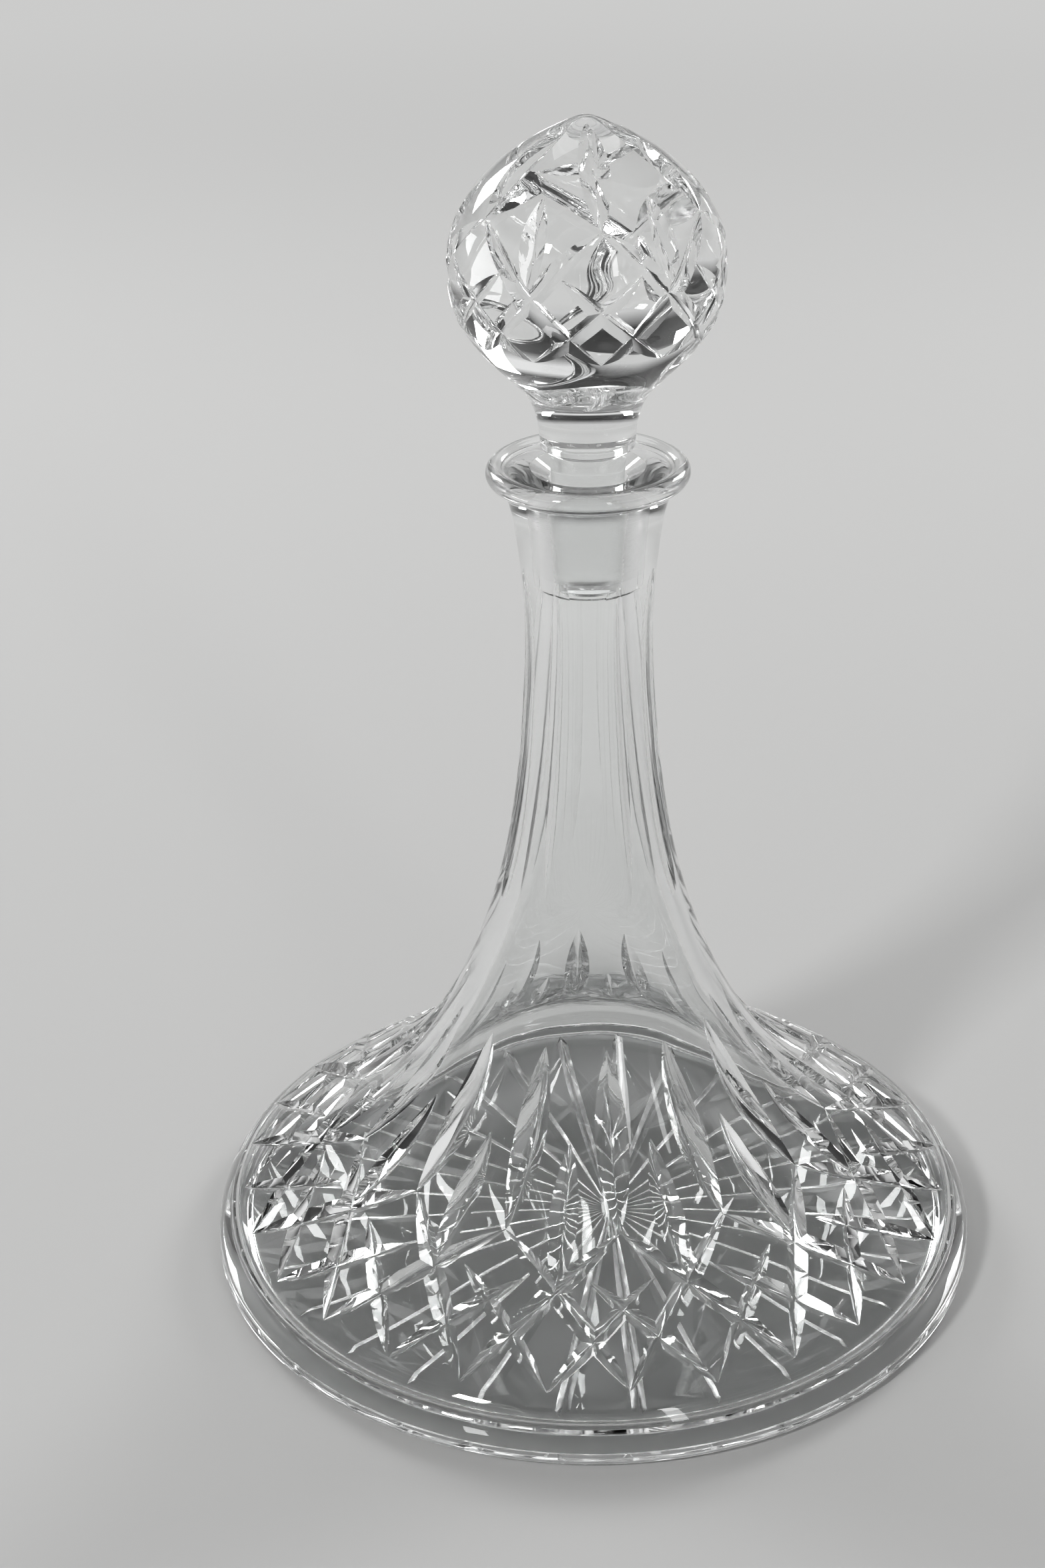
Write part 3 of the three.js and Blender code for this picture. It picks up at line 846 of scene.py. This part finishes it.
world = bpy.data.worlds.new("studioSurround")
bpy.context.scene.world = world
world.use_nodes = True
tree = world.node_tree
tree.nodes.clear()
place = addNode(tree, "ShaderNodeTexCoord")
parts = addNode(tree, "ShaderNodeSeparateXYZ", [(0, place.outputs["Generated"])])
sky = addNode(tree, "ShaderNodeValToRGB", [(0, parts.outputs["Z"])])
for stop, (at, level) in enumerate(studio["bands"]):
    step = sky.color_ramp.elements[stop] if stop < 2 else sky.color_ramp.elements.new(at)
    step.position = at
    step.color = (level, level, level, 1)
seen = addNode(tree, "ShaderNodeBackground", [("Color", sky.outputs[0])], Strength=1.0)
fill = addNode(tree, "ShaderNodeBackground", Color=(1, 1, 1, 1), Strength=studio["fill"])
around = addNode(tree, "ShaderNodeMixShader", [(0, seenDirectly(tree)), (1, fill.outputs[0]),
    (2, seen.outputs[0])])
backdrop = addNode(tree, "ShaderNodeBackground", Color=studio["farColour"], Strength=1.0)
path = addNode(tree, "ShaderNodeLightPath")
mixed = addNode(tree, "ShaderNodeMixShader", [(0, path.outputs["Is Camera Ray"]), (1, around.outputs[0]),
    (2, backdrop.outputs[0])])
addNode(tree, "ShaderNodeOutputWorld", [("Surface", mixed.outputs[0])])
print("studio made")

# The camera: place in metres, angles in degrees, found by fitting the outline and the cuts
view = {
    "place": (0.0, -0.57387, 0.41747),
    "yaw": -1.552,
    "pitch": 27.162,
    "roll": -1.0375,
    "focalPixels": 4184.99,
    "framePixels": 2352,
    "sensor": 36,
    "bounces": 32,
}
yaw, pitch, roll = (math.radians(view[key]) for key in ("yaw", "pitch", "roll"))
forward = Vector((math.sin(yaw) * math.cos(pitch), math.cos(yaw) * math.cos(pitch), -math.sin(pitch)))
level = Vector((math.cos(yaw), -math.sin(yaw), 0))
upright = level.cross(forward)
right = math.cos(roll) * level + math.sin(roll) * upright
up = -math.sin(roll) * level + math.cos(roll) * upright
lens = bpy.data.cameras.new("camera")
lens.sensor_width = view["sensor"]
lens.lens = view["focalPixels"] / view["framePixels"] * view["sensor"]
lens.clip_start, lens.clip_end = 0.01, 50
camera = bpy.data.objects.new("camera", lens)
turn = Matrix((right, up, -forward)).transposed().to_4x4()
camera.matrix_world = Matrix.Translation(view["place"]) @ turn
bpy.context.scene.collection.objects.link(camera)
scene = bpy.context.scene
scene.camera = camera
scene.view_settings.view_transform = "Standard"
scene.cycles.max_bounces = view["bounces"]
scene.cycles.transmission_bounces = view["bounces"]
scene.cycles.glossy_bounces = view["bounces"] // 2
scene.cycles.transparent_max_bounces = view["bounces"]
print("camera made")
